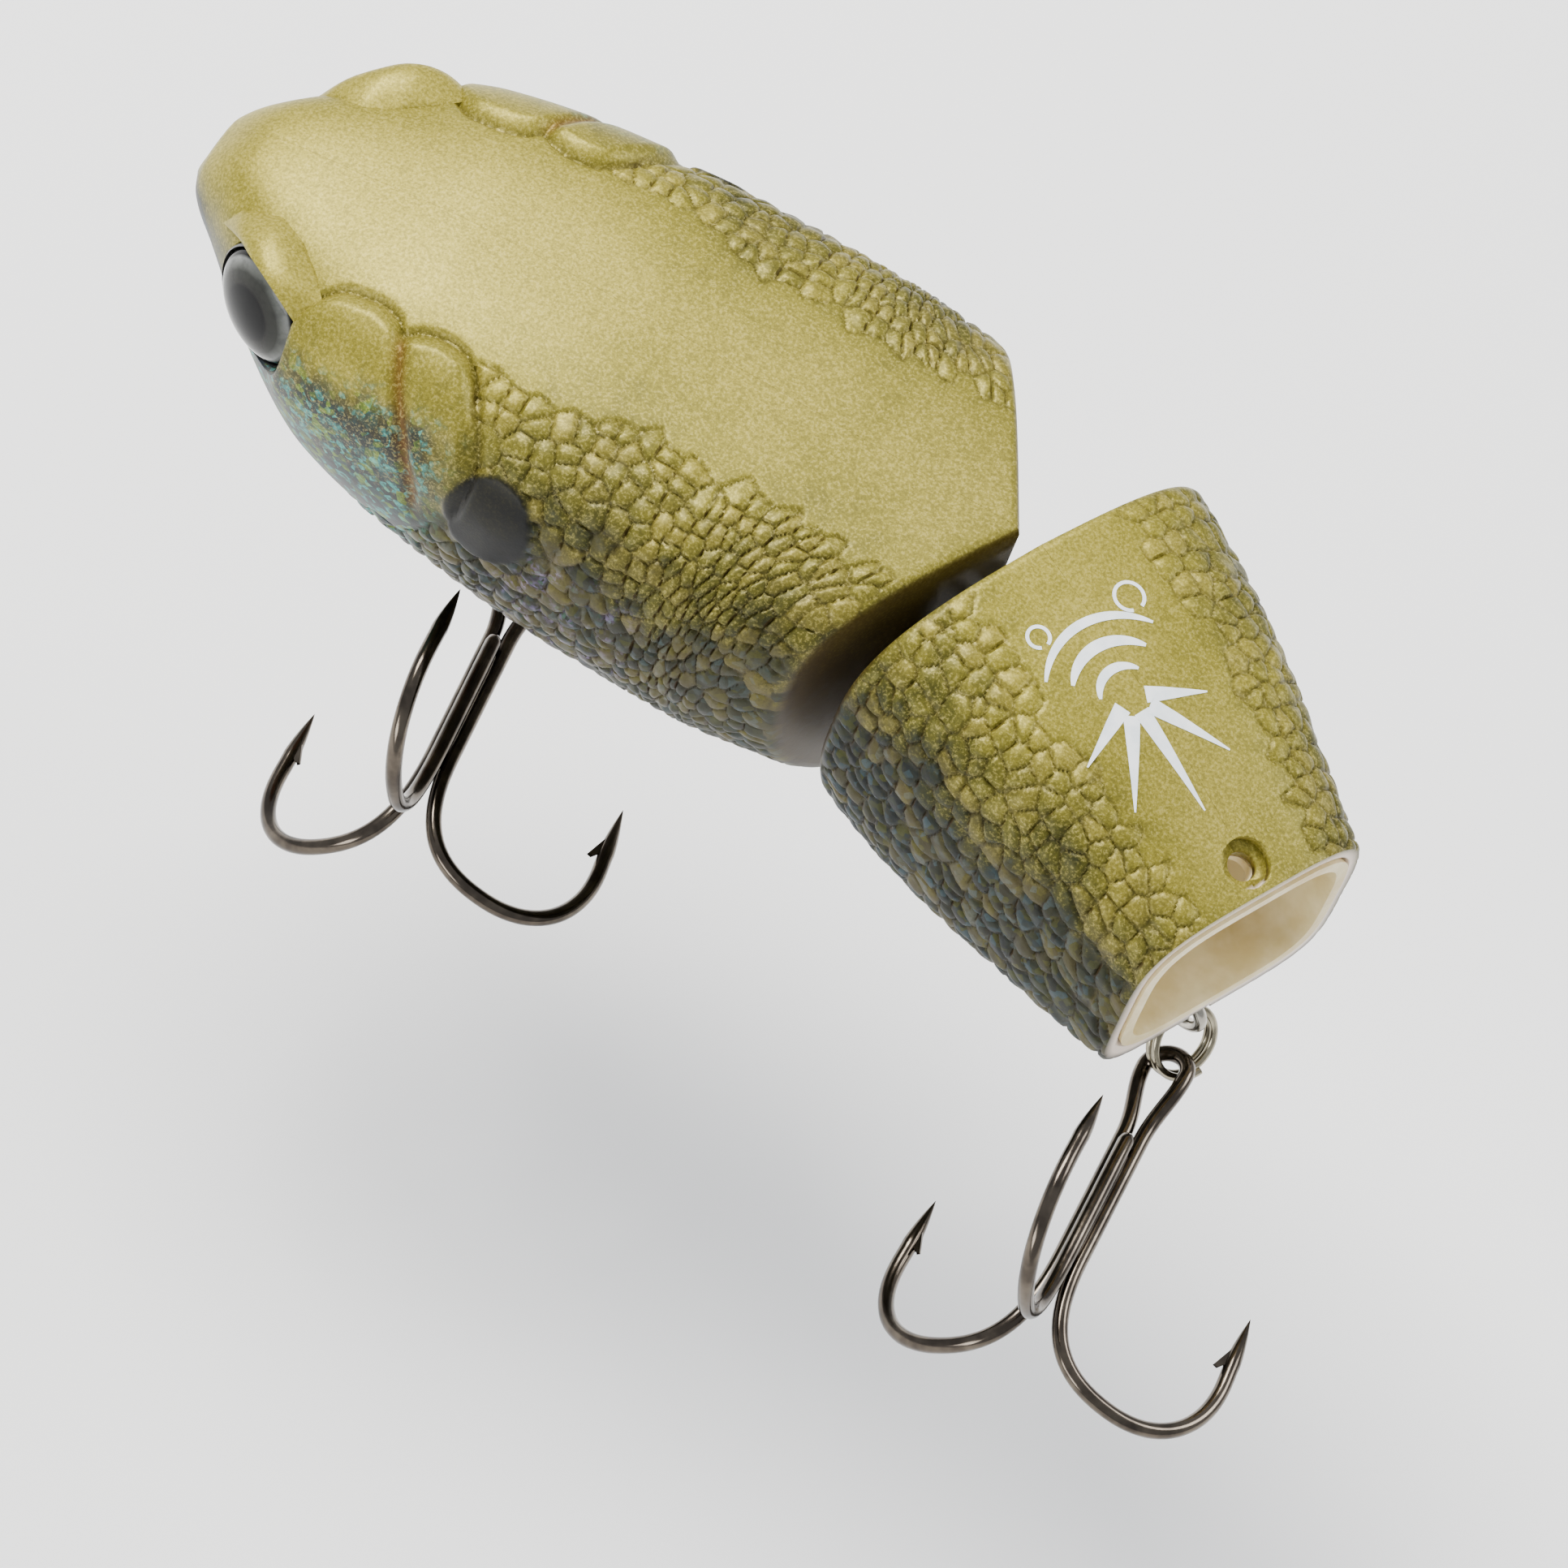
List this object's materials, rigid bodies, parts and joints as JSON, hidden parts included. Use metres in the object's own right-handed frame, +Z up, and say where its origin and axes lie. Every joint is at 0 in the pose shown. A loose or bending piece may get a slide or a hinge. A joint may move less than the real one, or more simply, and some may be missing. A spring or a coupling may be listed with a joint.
{
  "type": "jointed topwater popper lure",
  "caption": "Two-section jointed fishing lure with a popping cup in the rear of the tail, domed eyes, and treble hooks on split rings under the belly and the tail.",
  "frame": {"origin": "centre of the line tie's eye, under the chin, where the fishing line is knotted", "axes": "+X along the front section towards the tail, +Y to the lure's right, +Z up towards the back; the tail section rests swung to the lure's left"},
  "size_m": [0.1112, 0.0619, 0.0461],
  "materials": {
    "olive_pearl_paint": "metallic-flake olive paint under clear coat on moulded ABS",
    "stainless_wire": "bright stainless wire",
    "split_ring_steel": "plated spring-steel ring",
    "black_nickel": "black nickel hook plating",
    "printed_iris": "printed eye disc, dark pupil in a grey iris",
    "clear_lens": "clear domed resin",
    "bone_plastic": "bare bone-coloured moulding",
    "cast_weight": "cast non-lead weight",
    "rattle_brass": "plain brass tube"
  },
  "bodies": {
    "front_body": {"front_shell_left": "olive_pearl_paint", "front_shell_right": "olive_pearl_paint", "eye_left": "printed_iris", "eye_right": "printed_iris", "eye_lens_left": "clear_lens", "eye_lens_right": "clear_lens", "line_tie": "stainless_wire", "belly_hanger": "stainless_wire", "front_hinge_eye_upper": "stainless_wire", "front_hinge_eye_lower": "stainless_wire", "hinge_pin": "stainless_wire", "belly_weight": "cast_weight", "rattle_tube": "rattle_brass"},
    "tail_body": {"tail_shell_left": "olive_pearl_paint", "tail_shell_right": "olive_pearl_paint", "cup_liner": "bone_plastic", "tail_hinge_eye_upper": "stainless_wire", "tail_hinge_eye_lower": "stainless_wire", "tail_hanger": "stainless_wire", "tail_weight": "cast_weight"},
    "rattle": {"rattle_ball": "stainless_wire"},
    "belly_ring": {"belly_split_ring": "split_ring_steel"},
    "belly_hook": {"belly_hook_double": "black_nickel", "belly_hook_single": "black_nickel"},
    "tail_ring": {"tail_split_ring": "split_ring_steel"},
    "tail_hook": {"tail_hook_double": "black_nickel", "tail_hook_single": "black_nickel"}
  },
  "joints": [
    {"name": "tail_swing", "type": "hinge", "parent": "front_body", "child": "tail_body", "pos_m": [0.0612, 0, 0.008], "axis": [0, 0, 1], "range_deg": [-2.5, 53.5]},
    {"name": "rattle_roll", "type": "slide", "parent": "front_body", "child": "rattle", "axis": [0, 1, 0], "range_m": [-0.0058, 0.0058]},
    {"name": "belly_ring_swing", "type": "hinge", "parent": "front_body", "child": "belly_ring", "pos_m": [0.0268, 0, -0.0093], "axis": [1, 0, 0], "range_deg": [0, 40]},
    {"name": "belly_hook_swing", "type": "hinge", "parent": "belly_ring", "child": "belly_hook", "pos_m": [0.0268, -0.0005, -0.01055], "axis": [1, 0, 0], "range_deg": [0, 140]},
    {"name": "tail_ring_swing", "type": "hinge", "parent": "tail_body", "child": "tail_ring", "pos_m": [0.08787, -0.01272, -0.002], "axis": [0.7715, -0.2661, 0.5779], "range_deg": [-5, 40]},
    {"name": "tail_hook_swing", "type": "hinge", "parent": "tail_ring", "child": "tail_hook", "pos_m": [0.08794, -0.01446, -0.00393], "axis": [0.7069, -0.408, 0.5778], "range_deg": [-5, 95]}
  ]
}
